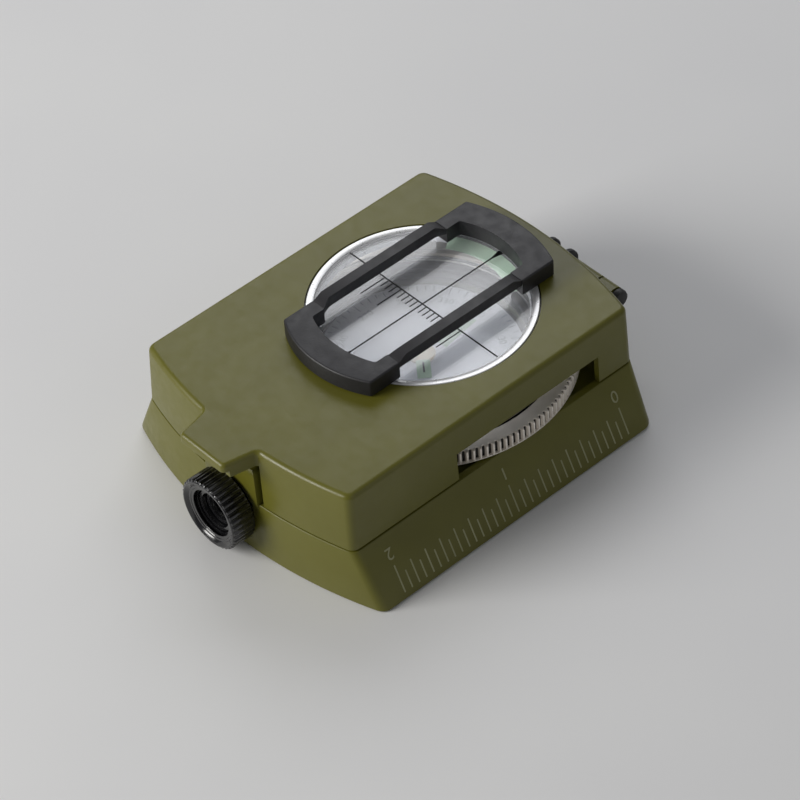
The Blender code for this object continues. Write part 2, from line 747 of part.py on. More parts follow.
def frame_bar(side, look):
    """One side bar, lofted along Y. It rises above the end plates and stands clear of the lid."""
    near, far = BAR_ENDS
    low, high = BAR_HEIGHTS
    inner, outer = BAR_SPAN
    leg = FRAME_INNER_HALF + 0.1
    root = FRAME_TOP - 0.1
    sections = [(near - 2.0, leg, root), (near, leg, root), (near + BAR_RISE, inner, high)]
    sections += [(near + far - y, across, top) for y, across, top in reversed(sections)]
    rings = []
    for y, across, top in sections:
        corners = [(across, low), (outer, low), (outer, top), (across, top)]
        rings.append([(side * x, y, z) for x, z in corners])
    return loft(f"frame_bar_{side}", rings, look)


def frame_pin(looks):
    rod("frame_pin", FRAME_AXIS, FRAME_PIN_RADIUS, -4.9, 4.9, looks["steel"], "X", 16)


def main():
    clear_scene()
    looks = make_materials()
    base_shell(looks)
    bottom_cover(looks)
    bottom_screws(looks)
    capsule(looks)
    bezel_spring(looks)
    eyepiece_tube(looks)
    hinge_hardware(looks)
    compass_card(looks)
    bezel_ring(looks)
    focus_ring(looks)
    lens_group(looks)
    lid_shell(looks)
    window_set(looks)
    sight_frame(looks)
    frame_pin(looks)


main()
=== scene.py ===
"""Looks for the pocket sighting compass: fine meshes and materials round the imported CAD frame.

Lengths in the geometry functions are millimetres in the CAD's frame: +Y is the sighting
direction, +X the ruler side, +Z up. Each fine mesh stands for the CAD node it replaces.
"""

import json
import math

import bmesh
import bpy
from mathutils import Matrix, Vector

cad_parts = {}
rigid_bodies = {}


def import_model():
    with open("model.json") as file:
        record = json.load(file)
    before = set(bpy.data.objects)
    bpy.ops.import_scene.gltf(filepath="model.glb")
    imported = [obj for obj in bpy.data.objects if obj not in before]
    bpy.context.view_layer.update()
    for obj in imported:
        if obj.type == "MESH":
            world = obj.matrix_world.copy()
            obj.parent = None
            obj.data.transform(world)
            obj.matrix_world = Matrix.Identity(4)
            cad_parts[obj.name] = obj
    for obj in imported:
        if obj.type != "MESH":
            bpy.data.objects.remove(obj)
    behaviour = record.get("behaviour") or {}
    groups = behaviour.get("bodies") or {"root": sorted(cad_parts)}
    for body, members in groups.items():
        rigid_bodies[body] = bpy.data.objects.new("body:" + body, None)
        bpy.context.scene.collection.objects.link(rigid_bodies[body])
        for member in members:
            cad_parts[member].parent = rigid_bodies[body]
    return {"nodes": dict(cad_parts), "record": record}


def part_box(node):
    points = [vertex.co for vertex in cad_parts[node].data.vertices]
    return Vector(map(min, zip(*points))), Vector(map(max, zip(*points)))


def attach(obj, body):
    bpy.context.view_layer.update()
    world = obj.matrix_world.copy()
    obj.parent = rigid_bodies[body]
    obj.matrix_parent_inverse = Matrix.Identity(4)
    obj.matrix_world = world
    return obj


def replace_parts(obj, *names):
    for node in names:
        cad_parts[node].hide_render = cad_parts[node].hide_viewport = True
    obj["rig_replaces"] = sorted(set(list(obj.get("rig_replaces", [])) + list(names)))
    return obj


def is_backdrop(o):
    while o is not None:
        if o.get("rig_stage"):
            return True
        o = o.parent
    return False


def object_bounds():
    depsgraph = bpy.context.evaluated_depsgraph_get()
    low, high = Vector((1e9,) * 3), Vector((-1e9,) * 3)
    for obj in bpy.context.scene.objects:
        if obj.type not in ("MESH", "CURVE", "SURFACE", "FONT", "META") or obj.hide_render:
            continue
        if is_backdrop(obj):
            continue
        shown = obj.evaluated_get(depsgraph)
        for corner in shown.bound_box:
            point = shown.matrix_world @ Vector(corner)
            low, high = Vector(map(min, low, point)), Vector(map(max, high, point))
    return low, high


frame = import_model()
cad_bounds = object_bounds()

MM = 0.001
GAP = 0.3  # clearance between pieces

# Case.
LID_HALF_WIDTH = 25.1
END_REACH = 34.6
END_RADIUS = 87.0
CORNER_RADIUS = 1.7
SEAM = 10.9
SEAM_GAP = 0.15
LID_TOP = 22.8
DRAFT = 0.5
WALL = 1.1
TOP_PLATE = 1.4
EDGE_ROUND = 1.0
RULER_SIDE = 31.3
PLAIN_SIDE = 31.0
BASE_END_FLARE = 1.5
BASE_EDGE = 0.6
DECK_TOP = 9.6
DECK_UNDER = 8.0
RIM_WALL = 1.3
COVER_THICK = 1.2
BOSS = (21.5, 27.0)
BOSS_RADIUS = 2.4

# Eyepiece end.
EYE_HEIGHT = 7.76
RING_RADIUS = 6.7
RING_BACK = -35.95
RING_FRONT = -40.6
TUBE_RADIUS = 5.0
TUNNEL_RADIUS = 3.0
BLOCK_BACK = -27.0
BLOCK_FACE = -35.2
BLOCK_FOOT_FACE = -34.8  # below the seam, inside the base's end wall
BLOCK_TOP = 18.3
BLOCK_HALF = 6.3
BLOCK_ROUND = 0.9
TAB_ROOT = 6.9
TAB_TIP = 5.45
TAB_END = -40.5
TAB_ROOT_Y = -END_REACH + 1.0
TAB_SLOPE = (TAB_ROOT - TAB_TIP) / (TAB_ROOT_Y - TAB_END)
TAB_SKIRT = 3.0
HOOD_ROUND = 0.8
TIP_ROUND = 1.1
ROOT_ROUND = 1.0
HOOD_WALL = 1.1
LIP = 1.6
CUTOUT_TOP = 7.1
CUTOUT_SEAM = 7.75
KNURLS = 38

# Capsule and bezel.
CAPSULE_Y = 7.0
CUP_RADIUS = 20.6
BEZEL_RADIUS = 26.8
BEZEL_BOTTOM = 11.2
BEZEL_TOP = 13.8
TEETH = 144
TOOTH_DEPTH = 0.7
FLANGE = 0.3
LAND = 0.4
CARD_TOP = 10.5
SLOT_NEAR = -8.3
SLOT_FAR = 23.7
SLOT_TOP = 16.7

# Window, graticule and sight frame.
WINDOW_Y = 7.9
WINDOW_RADIUS = 19.75
GLASS_RADIUS = 18.7
GLASS_TOP = 22.6
SCALE_STEP = 1.03
SCALE_LONG = (5, 9)  # the scale's long lines
LINE_HALF = 0.15
LINE_REACH = 18.1
FRAME_HALF = 10.7
FRAME_INNER_HALF = 7.75
FRAME_NEAR = (-16.1, 20.65)  # each end arc: its middle's y and its radius
FRAME_FAR = (30.4, 25.0)
FRAME_INNER_NEAR = (-11.1, 18.3)
FRAME_INNER_FAR = (25.6, 17.0)
FRAME_TOP = 26.2
FRAME_CORNER = 0.5
BAR_SPAN = (8.55, 10.5)
BAR_ENDS = (-6.8, 20.8)
BAR_HEIGHTS = (25.0, 27.1)
BAR_RISE = 1.8
FRAME_AXIS = (28.9, 24.5)
FRAME_HEEL = 1.5
LUG_HALF = 2.9
FRAME_PIN_HOLE = 0.55

# Lid hinge.
HINGE = (38.8, 13.15)
KNUCKLE = 1.7
PIN_RADIUS = 0.8
PIN_HOLE = PIN_RADIUS + 0.2
SPOOL_RADIUS = 2.6
BASE_KNUCKLE = (3.1, 10.1)
LID_KNUCKLE = (10.5, 14.0)
CAP_SPAN = (14.3, 15.7)
TONGUE_HALF = 7.6
TONGUE_TOP = 14.0

# Ruler on the slanted face: inches in sixteenths, counted towards -Y.
INCH = 25.4
RULER_FOOT = 1.24
INCH_MARK = 5.1
MARK_PROUD = 0.05
RULER_RUN = (RULER_SIDE - LID_HALF_WIDTH - DRAFT) / SEAM  # the face's lean for each 1 mm up
SLOPE_UP = Vector((-RULER_RUN, 0, 1)).normalized()

# Camera: its compass direction, height angle and turn about its own axis, in degrees.
CAMERA_ANGLES = (50.4, 44.26, -4.0)
CAMERA_DISTANCE = 609.5
CAMERA_TARGET = (5.01, -2.52, 11.0)
CAMERA_LENS = 165.09
CAMERA_SENSOR = 36.0

# Segment counts.
END_STEPS = 48
CORNER_STEPS = 8
ROUND = 128
MIDDLE = 64


# ---------------------------------------------------------------- meshes


def placed(name, data):
    """A new object with its data, linked into the scene."""
    thing = bpy.data.objects.new(name, data)
    bpy.context.scene.collection.objects.link(thing)
    return thing


def meshed(name, shape):
    """An object from a bmesh, which is freed."""
    mesh = bpy.data.meshes.new(name)
    shape.to_mesh(mesh)
    shape.free()
    return placed(name, mesh)


def solid(name, points, faces):
    """A closed mesh object from points in millimetres, faces outwards and smoothly shaded."""
    shape = bmesh.new()
    corners = [shape.verts.new([value * MM for value in point]) for point in points]
    for face in faces:
        shape.faces.new([corners[index] for index in face])
    bmesh.ops.recalc_face_normals(shape, faces=shape.faces)
    return shaded(meshed(name, shape))


def shaded(thing, angle=32):
    """Smooth shading that keeps edges sharper than an angle in degrees."""
    thing.data.shade_smooth()
    thing.data.set_sharp_from_angle(angle=math.radians(angle))
    return thing


def loft(name, rings):
    """Joins rings of equally many points in order, and closes both ends."""
    count = len(rings[0])
    points = [point for ring in rings for point in ring]
    faces = [list(range(count)), [len(points) - count + index for index in range(count)]]
    for level_number in range(len(rings) - 1):
        for index in range(count):
            ahead = (index + 1) % count
            low, high = level_number * count, (level_number + 1) * count
            faces.append([low + index, low + ahead, high + ahead, high + index])
    return solid(name, points, faces)


def on_axis(axis, centre, along, across):
    """A point at a distance along an axis through the centre, and off it by two more."""
    if axis == "Z":
        return (centre[0] + across[0], centre[1] + across[1], along)
    if axis == "Y":
        return (centre[0] + across[0], along, centre[1] + across[1])
    return (along, centre[0] + across[0], centre[1] + across[1])


def turned(name, profile, centre, axis="Z", steps=ROUND, reach=None):
    """Turns a profile of (radius, distance along). reach(radius, along, share) may vary it."""
    closed = profile[0][0] > 0
    points = []
    rows = []
    for radius, along in profile:
        row = []
        for step in range(steps if radius > 0 else 1):
            angle = 2 * math.pi * step / steps
            out = reach(radius, along, step / steps) if reach else radius
            row.append(len(points))
            across = (out * math.cos(angle), out * math.sin(angle))
            points.append(on_axis(axis, centre, along, across))
        rows.append(row * steps if len(row) == 1 else row)
    faces = []
    pairs = list(zip(rows, rows[1:])) + ([(rows[-1], rows[0])] if closed else [])
    for first, second in pairs:
        for step in range(steps):
            ahead = (step + 1) % steps
            corners = [first[step], first[ahead], second[ahead], second[step]]
            corners = list(dict.fromkeys(corners))
            if len(corners) > 2:
                faces.append(corners)
    return solid(name, points, faces)


def extruded(name, outline, start, end, axis="Z"):
    """Extrudes an outline: (x, y) along Z, or (y, z) along X."""
    rings = []
    for along in (start, end):
        if axis == "Z":
            rings.append([(across, up, along) for across, up in outline])
        else:
            rings.append([(along, across, up) for across, up in outline])
    return loft(name, rings)


def block(name, low, high):
    outline = [low[:2], (high[0], low[1]), high[:2], (low[0], high[1])]
    return extruded(name, outline, low[2], high[2])


def rod(name, centre, radius, start, end, axis="Z", steps=MIDDLE):
    return turned(name, [(0, start), (radius, start), (radius, end), (0, end)], centre, axis, steps)


def joined(name, things):
    """One object that holds the meshes of several, which are removed."""
    shape = bmesh.new()
    for thing in things:
        moved = thing.data.copy()
        moved.transform(thing.matrix_world)
        shape.from_mesh(moved)
    for thing in things:
        bpy.data.objects.remove(thing)
    return shaded(meshed(name, shape))


def carved(target, adds=(), cuts=(), late_adds=(), late_cuts=()):
    """Applies Booleans in that order and removes their helpers."""
    steps = [(helper, "UNION") for helper in adds] + [(helper, "DIFFERENCE") for helper in cuts]
    steps += [(helper, "UNION") for helper in late_adds]
    steps += [(helper, "DIFFERENCE") for helper in late_cuts]
    for helper, operation in steps:
        step = target.modifiers.new(helper.name, "BOOLEAN")
        step.operation = operation
        step.solver = "EXACT"
        step.object = helper
    applied(target)
    for helper, _ in steps:
        bpy.data.objects.remove(helper)
    return shaded(target)


def applied(target):
    """Replaces an object's mesh by the evaluated one, and clears its modifiers."""
    mesh = evaluated_mesh(target)
    target.modifiers.clear()
    target.data = mesh
    return target


def evaluated_mesh(thing):
    graph = bpy.context.evaluated_depsgraph_get()
    return bpy.data.meshes.new_from_object(thing.evaluated_get(graph))


def softened(target, width, angle=38, segments=2):
    """Rounds the sharp edges that Booleans leave."""
    step = target.modifiers.new("edge_round", "BEVEL")
    step.width = width * MM
    step.segments = segments
    step.limit_method = "ANGLE"
    step.angle_limit = math.radians(angle)
    step.harden_normals = True
    step.use_clamp_overlap = True
    return applied(target)


def frame_box_mm(node):
    low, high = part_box(node)
    return low / MM, high / MM


# ---------------------------------------------------------------- outlines


def arc(centre, radius, start, end, steps):
    """Points of an arc between two angles in degrees, both ends included."""
    points = []
    for step in range(steps + 1):
        angle = math.radians(start + (end - start) * step / steps)
        points.append((centre[0] + radius * math.cos(angle), centre[1] + radius * math.sin(angle)))
    return points


def far_end(left, right, centre_y, radius, corner, steps):
    """The +Y end of an outline, from the right side to the left one, with filleted corners."""
    points = []
    sides = []
    for side, half in ((1, right), (-1, left)):
        x = half - corner
        y = centre_y + math.sqrt((radius - corner) ** 2 - x**2)
        sides.append((side * x, y, math.degrees(math.atan2(y - centre_y, side * x))))
    (right_x, right_y, first), (left_x, left_y, last) = sides
    points += arc((right_x, right_y), corner, 0, first, CORNER_STEPS)
    points += arc((0, centre_y), radius, first, last, steps)[1:-1]
    points += arc((left_x, left_y), corner, last, 180, CORNER_STEPS)
    return points


def turned_round(points):
    """The points turned half a circle about the origin."""
    return [(-x, -y) for x, y in points]


def case_outline(left, right, grow, corner):
    """The case's plan: straight sides and two bowed ends, which grow moves outwards."""
    centre = END_REACH - END_RADIUS
    radius = END_RADIUS + grow
    far = far_end(left, right, centre, radius, corner, END_STEPS)
    near = turned_round(far_end(right, left, centre, radius, corner, END_STEPS))
    return far + near


def level(outline, height):
    """An outline as a ring of points at one height."""
    return [(x, y, height) for x, y in outline]


def lid_outline(height, inset):
    lean = DRAFT * (LID_TOP - height) / (LID_TOP - SEAM)
    half = LID_HALF_WIDTH + lean - inset
    return level(case_outline(half, half, lean - inset, max(CORNER_RADIUS - inset, 0.5)), height)


def base_outline(height, inset):
    """The base's plan, which spreads from the seam down to the underside."""
    share = 1 - height / SEAM
    rim = LID_HALF_WIDTH + DRAFT
    left = rim + (PLAIN_SIDE - rim) * share - inset
    right = rim + (RULER_SIDE - rim) * share - inset
    grow = DRAFT + (BASE_END_FLARE - DRAFT) * share - inset
    corner = max(CORNER_RADIUS + 0.5 * share - inset, 0.5)
    return level(case_outline(left, right, grow, corner), height)


def curved_strip(name, centre, inner, outer, start, end, low, high, steps=24):
    outline = arc(centre, outer, start, end, steps)
    outline += list(reversed(arc(centre, inner, start, end, steps)))
    return extruded(name, outline, low, high)


def tab_half(y):
    """Half the width of the lid's tab, which narrows from its root to its tip."""
    return TAB_ROOT - TAB_SLOPE * (TAB_ROOT_Y - y)


def trapezoid(inset, front):
    """The tab's plan from its root to a front line, narrowed on both sides."""
    tip = tab_half(front) - inset
    root = TAB_ROOT - inset
    return [(-tip, front), (tip, front), (root, TAB_ROOT_Y), (-root, TAB_ROOT_Y)]


def frame_outline(half, near, far, inset, corner, steps):
    """An outline with straight sides and an arc at each end: (its middle's y, its radius)."""
    half -= inset
    far_y, far_radius = far[0] - inset, far[1] - inset
    near_y, near_radius = near[0] + inset, near[1] - inset
    outline = far_end(half, half, far_y - far_radius, far_radius, corner, steps)
    near_half = far_end(half, half, -near_y - near_radius, near_radius, corner, steps)
    return outline + turned_round(near_half)


def rounded_levels(outline_at, bottom, top, radius, steps, low_radius=0.0):
    """Rings of a lofted body whose top, and bottom if asked, have rounded edges."""
    rings = []
    if low_radius:
        for step in range(steps + 1):
            angle = math.pi / 2 * step / steps
            height = bottom + low_radius * (1 - math.cos(angle))
            rings.append(outline_at(height, low_radius * (1 - math.sin(angle))))
    else:
        rings.append(outline_at(bottom, 0))
    for step in range(steps + 1):
        angle = math.pi / 2 * step / steps
        height = top - radius * (1 - math.sin(angle))
        rings.append(outline_at(height, radius * (1 - math.cos(angle))))
    return rings


# ---------------------------------------------------------------- case pieces


def boss_places():
    return [(side * BOSS[0], end * BOSS[1]) for side in (-1, 1) for end in (-1, 1)]


def make_base():
    """The base: a flared case with a deck, the eyepiece block, screw bosses and hinge arms."""
    rim = SEAM - SEAM_GAP
    shell = loft("case_base", rounded_levels(base_outline, 0, rim, 0.15, 3, BASE_EDGE))
    below = [base_outline(height, 2.0) for height in (0, DECK_UNDER)]
    below.insert(0, [(x, y, -1) for x, y, _ in below[0]])
    above = [base_outline(height, RIM_WALL) for height in (DECK_TOP, SEAM)]
    above.append([(x, y, SEAM + 1) for x, y, _ in above[1]])
    cuts = [loft("cut_below", below), loft("cut_above", above)]
    adds = [make_block()]
    for x, y in boss_places():
        adds.append(rod(f"boss_{x}_{y}", (x, y), BOSS_RADIUS, COVER_THICK + GAP, 8.8))
    tongue_low, tongue_high = (-TONGUE_HALF, 34.15, DECK_TOP - 1), (TONGUE_HALF, 34.75, TONGUE_TOP)
    adds.append(block("hinge_tongue", tongue_low, tongue_high))
    adds += [make_base_knuckle(side) for side in (-1, 1)]
    eye = (0, EYE_HEIGHT)
    bore_end = BLOCK_BACK - 0.9
    late_cuts = [
        rod("cut_capsule", (0, CAPSULE_Y), CUP_RADIUS + GAP, 5, 12, steps=ROUND),
        rod("cut_bore", eye, TUBE_RADIUS + 0.25, -38, bore_end, "Y"),
        rod("cut_tunnel", eye, TUNNEL_RADIUS + GAP, bore_end - 1, -12, "Y"),
        block("cut_pocket", (-4.4, -34, 13.9), (4.4, BLOCK_BACK + 1, 16.9)),
        rod("cut_ring_seat", eye, RING_RADIUS + GAP, -38, RING_BACK + GAP, "Y"),
        rod("cut_pin", HINGE, PIN_HOLE, -12, 12, "X"),
    ]
    for x, y in boss_places():
        late_cuts.append(rod(f"cut_boss_{x}_{y}", (x, y), 1.0, 1, 6))
    shell = carved(shell, (), cuts, adds, late_cuts)
    return softened(shell, 0.12)


def make_block():
    """The block round the eyepiece tube: wider at its foot, with rounded top edges."""
    levels = [
        (COVER_THICK + GAP, 0.45, BLOCK_FOOT_FACE),
        (SEAM - 1.5, 0.25, BLOCK_FOOT_FACE),
        (SEAM - 0.5, 0.2, BLOCK_FACE),
    ]
    for step in range(6):
        angle = math.pi / 2 * step / 5
        height = BLOCK_TOP - BLOCK_ROUND * (1 - math.sin(angle))
        inset = BLOCK_ROUND * (1 - math.cos(angle))
        levels.append((height, -inset, BLOCK_FACE + 0.45 * inset))
    rings = []
    for height, wider, face in levels:
        half = BLOCK_HALF + wider
        plan = [(-half, face), (half, face), (half, BLOCK_BACK), (-half, BLOCK_BACK)]
        rings.append(level(plan, height))
    return loft("eyepiece_block", rings)


def make_base_knuckle(side):
    """A hinge knuckle of the base with the arm that carries it."""
    y = HINGE[0]
    root = y - 4.9
    arm_top = SEAM - GAP
    outline = [(root, arm_top), (root, DECK_UNDER + 0.4)]
    outline += arc(HINGE, KNUCKLE, -60, 180, 32)
    outline.append((y - KNUCKLE, arm_top))
    start, end = (side * along for along in BASE_KNUCKLE)
    return extruded(f"base_knuckle_{side}", outline, start, end, "X")


def make_lid():
    """The lid with its hood, window hole, bezel slots, hinge knuckles and sight frame lug."""
    start = SEAM + SEAM_GAP
    under = LID_TOP - TOP_PLATE
    shell = loft("case_lid", rounded_levels(lid_outline, start, LID_TOP, EDGE_ROUND, 7, 0.15))
    inside = [lid_outline(height, WALL) for height in (start - 1, under)]
    cuts = [loft("cut_inside", inside), make_block_opening()]
    notch_low = (-TONGUE_HALF - 0.4, 31, SEAM - 1)
    notch_high = (TONGUE_HALF + 0.4, 38, TONGUE_TOP + GAP)
    slot_low, slot_high = (-30, SLOT_NEAR, SEAM - 1), (30, SLOT_FAR, SLOT_TOP)
    lip_low, lip_high = (-8, TAB_END - 1, 19), (8, TAB_END + 1.2, LID_TOP - LIP)
    shell = carved(shell, (), cuts, [make_hood()], [
        extruded("cut_hood", trapezoid(HOOD_WALL, TAB_END + HOOD_WALL), 19, under - 0.05),
        block("cut_lip", lip_low, lip_high),
        block("cut_slots", slot_low, slot_high),
        rod("cut_window", (0, WINDOW_Y), WINDOW_RADIUS, 20, 24, steps=ROUND),
        block("cut_notch", notch_low, notch_high),
    ])
    adds = [make_lid_knuckle(side) for side in (-1, 1)] + [make_lug()]
    pins = [
        rod("cut_lid_pin", HINGE, PIN_HOLE, -15, 15, "X"),
        rod("cut_lug_pin", FRAME_AXIS, FRAME_PIN_HOLE, -4, 4, "X", 32),
    ]
    shell = carved(shell, adds, pins)
    return softened(shell, 0.15)


def make_block_opening():
    """Cutter for the eyepiece block's gap in the lid's end wall, narrower towards the hood."""
    rings = []
    for height, half in ((SEAM - 1, CUTOUT_SEAM), (LID_TOP - TAB_SKIRT + 0.05, CUTOUT_TOP)):
        rings.append(level([(-half, -38), (half, -38), (half, -31), (-half, -31)], height))
    return loft("cut_gap", rings)


def hood_outline(inset):
    """The hood's plan: rounded tip corners, and fillets that spread into the lid's end wall."""
    wall_y = -END_REACH + 0.42
    lean = math.atan(TAB_SLOPE)
    turn = math.degrees(lean)
    tip_y = TAB_END + TIP_ROUND
    tip_x = tab_half(tip_y) - TIP_ROUND / math.cos(lean)
    root_y = wall_y - ROOT_ROUND
    root_x = tab_half(root_y) + ROOT_ROUND / math.cos(lean)
    right = arc((tip_x, tip_y), TIP_ROUND - inset, -90, -turn, 8)
    right += arc((root_x, root_y), ROOT_ROUND + inset, 180 - turn, 90, 8)
    right.append((root_x, wall_y + WALL - 0.2))
    return [(-x, y) for x, y in reversed(right)] + right


def make_hood():
    """The lid's tab over the eyepiece block, with rounded top edges."""
    top = LID_TOP - 0.02
    rings = [level(hood_outline(0), LID_TOP - TAB_SKIRT)]
    for step in range(9):
        angle = math.pi / 2 * step / 8
        inset = HOOD_ROUND * (1 - math.cos(angle))
        drop = HOOD_ROUND * (1 - math.sin(angle))
        rings.append(level(hood_outline(inset), top - drop))
    return loft("hood", rings)


def make_lid_knuckle(side):
    """A hinge knuckle of the lid, which grows out of the lid's end wall."""
    y, z = HINGE
    arm_bottom = SEAM + 0.75
    meets = -180 + math.degrees(math.asin((z - arm_bottom) / KNUCKLE))
    outline = [(y - 5.2, arm_bottom), (y - 5.2, z + KNUCKLE)]
    outline += arc(HINGE, KNUCKLE, 90, meets, 32)
    start, end = (side * along for along in LID_KNUCKLE)
    return extruded(f"lid_knuckle_{side}", outline, start, end, "X")


def make_lug():
    """The lug on the lid that carries the sight frame's pin."""
    y = FRAME_AXIS[0]
    foot = LID_TOP - 0.3
    outline = [(y - 1.1, foot), (y + 1.0, foot)] + arc(FRAME_AXIS, 0.95, 0, 180, 24)
    return extruded("frame_lug", outline, -LUG_HALF, LUG_HALF, "X")


def make_sight_frame():
    """Two end plates and two raised bars, hinged over the lug on the lid."""
    y, z = FRAME_AXIS
    bottom = LID_TOP + GAP

    def outline_at(height, inset):
        corner = max(FRAME_CORNER - inset, 0.15)
        return level(frame_outline(FRAME_HALF, FRAME_NEAR, FRAME_FAR, inset, corner, 24), height)

    body = loft("folding_frame", rounded_levels(outline_at, bottom, FRAME_TOP, 0.35, 4))
    opening = frame_outline(FRAME_INNER_HALF, FRAME_INNER_NEAR, FRAME_INNER_FAR, 0, 0.6, 24)
    heel = [(y, bottom - 1), (y + 4, bottom - 1), (y + 4, z)]
    heel += arc(FRAME_AXIS, FRAME_HEEL, 0, -90, 12)
    notch_low = (-LUG_HALF - 0.4, y - 1.35, bottom - 1)
    near, far = BAR_ENDS
    cuts = [extruded("cut_opening", opening, 22, 28)]
    cuts.append(block("cut_sides", (-12, near, 22), (12, far, 28)))
    bars = [make_frame_bar(side) for side in (-1, 1)]
    body = carved(body, (), cuts, bars, [
        extruded("cut_heel", heel, -12, 12, "X"),
        block("cut_notch", notch_low, (LUG_HALF + 0.4, y + 4, z + 1.25)),
        rod("cut_pin", FRAME_AXIS, FRAME_PIN_HOLE, -5.2, 5.2, "X", 32),
    ])
    return softened(body, 0.16, segments=3)


def make_frame_bar(side):
    """One side bar, lofted along Y. It rises above the end plates and stands clear of the lid."""
    near, far = BAR_ENDS
    low, high = BAR_HEIGHTS
    inner, outer = BAR_SPAN
    leg = FRAME_INNER_HALF + 0.1
    root = FRAME_TOP - 0.1
    sections = [(near - 2.0, leg, root), (near, leg, root), (near + BAR_RISE, inner, high)]
    sections += [(near + far - y, across, top) for y, across, top in reversed(sections)]
    rings = []
    for y, across, top in sections:
        corners = [(across, low), (outer, low), (outer, top), (across, top)]
        rings.append([(side * x, y, z) for x, z in corners])
    return loft(f"frame_bar_{side}", rings)


def make_bezel():
    """The bezel: notched above a thin flange, then a flat, a groove and two raised lands."""
    inner = CUP_RADIUS + GAP
    root = BEZEL_RADIUS - TOOTH_DEPTH
    land = BEZEL_TOP + LAND
    profile = [
        (inner, BEZEL_BOTTOM),
        (BEZEL_RADIUS - 0.15, BEZEL_BOTTOM),
        (BEZEL_RADIUS, BEZEL_BOTTOM + 0.12),
        (BEZEL_RADIUS, BEZEL_BOTTOM + FLANGE),
        (BEZEL_RADIUS, BEZEL_BOTTOM + FLANGE + 0.05),
        (BEZEL_RADIUS, BEZEL_TOP - 0.35),
        (BEZEL_RADIUS - 0.1, BEZEL_TOP - 0.12),
        (BEZEL_RADIUS - 0.35, BEZEL_TOP),
        (root, BEZEL_TOP),
        (23.75, BEZEL_TOP),
        (23.6, BEZEL_TOP - 0.12),
        (23.5, BEZEL_TOP - 0.5),
        (23.15, BEZEL_TOP - 0.5),
        (23.05, BEZEL_TOP + 0.25),
        (22.9, land),
        (22.1, land),
        (22.0, BEZEL_TOP + 0.05),
        (21.65, BEZEL_TOP + 0.05),
        (21.55, land),
        (inner + 0.12, land),
        (inner, BEZEL_TOP + 0.28),
    ]

    def toothed(radius, along, share):
        if radius <= root or along <= BEZEL_BOTTOM + FLANGE:
            return radius
        phase = (share * TEETH) % 1
        from_gap = min(phase, 1 - phase)
        depth = min(1.0, max(0.0, 3.0 - 10.0 * from_gap))
        return radius - (radius - root) * depth

    return turned("toothed_bezel", profile, (0, CAPSULE_Y), steps=TEETH * 8, reach=toothed)


def make_focus_ring():
    """The knurled ring: a plain collar in front, and a sloping recess down to the eye hole."""
    collar = RING_RADIUS - 0.4
    profile = [
        (4.9, RING_BACK),
        (collar, RING_BACK),
        (RING_RADIUS - 0.08, RING_BACK - 0.12),
        (RING_RADIUS, RING_BACK - 0.35),
        (RING_RADIUS, RING_FRONT + 0.5),
        (RING_RADIUS - 0.1, RING_FRONT + 0.25),
        (collar, RING_FRONT + 0.12),
        (collar - 0.05, RING_FRONT + 0.03),
        (collar - 0.12, RING_FRONT),
        (collar - 0.3, RING_FRONT),
        (collar - 0.4, RING_FRONT + 0.08),
        (5.4, RING_FRONT + 0.34),
        (5.3, RING_FRONT + 0.48),
        (4.95, RING_FRONT + 0.52),
        (4.85, RING_FRONT + 0.62),
        (4.45, RING_FRONT + 0.66),
        (4.4, RING_FRONT + 0.7),
        (4.4, RING_FRONT + 0.78),
        (4.9, RING_FRONT + 0.85),
    ]

    def knurled(radius, along, share):
        if radius <= collar:
            return radius
        wave = 0.5 - 0.5 * math.cos(2 * math.pi * ((share * KNURLS) % 1))
        return radius - (radius - collar) * wave**1.5

    return turned("knurled_focus_ring", profile, (0, EYE_HEIGHT), "Y", KNURLS * 10, knurled)


# ---------------------------------------------------------------- window pieces


def make_window_pane():
    """The window glass, with its edges broken."""
    low = frame_box_mm("window_glass")[0][2]
    edge = 0.12
    profile = [
        (0, low),
        (GLASS_RADIUS - edge, low),
        (GLASS_RADIUS, low + edge),
        (GLASS_RADIUS, GLASS_TOP - edge),
        (GLASS_RADIUS - edge, GLASS_TOP),
        (0, GLASS_TOP),
    ]
    return turned("window_pane", profile, (0, WINDOW_Y))


def make_window_rim():
    """The bright ring: a shelf below the glass and a thin lip turned in over its edge."""
    under = LID_TOP - TOP_PLATE
    shelf = under - 0.4
    profile = [
        (17.9, under - 1.4),
        (WINDOW_RADIUS + 1.2, under - 1.4),
        (WINDOW_RADIUS + 1.2, under - 0.3),
        (19.5, under - 0.3),
        (19.5, LID_TOP - 0.15),
        (19.4, LID_TOP - 0.05),
        (19.0, LID_TOP - 0.05),
        (18.35, GLASS_TOP + 0.07),
        (18.3, GLASS_TOP + 0.03),
        (18.95, GLASS_TOP + 0.03),
        (18.95, shelf),
        (18.0, shelf),
        (17.9, shelf - 0.1),
    ]
    return turned("window_rim", profile, (0, WINDOW_Y))


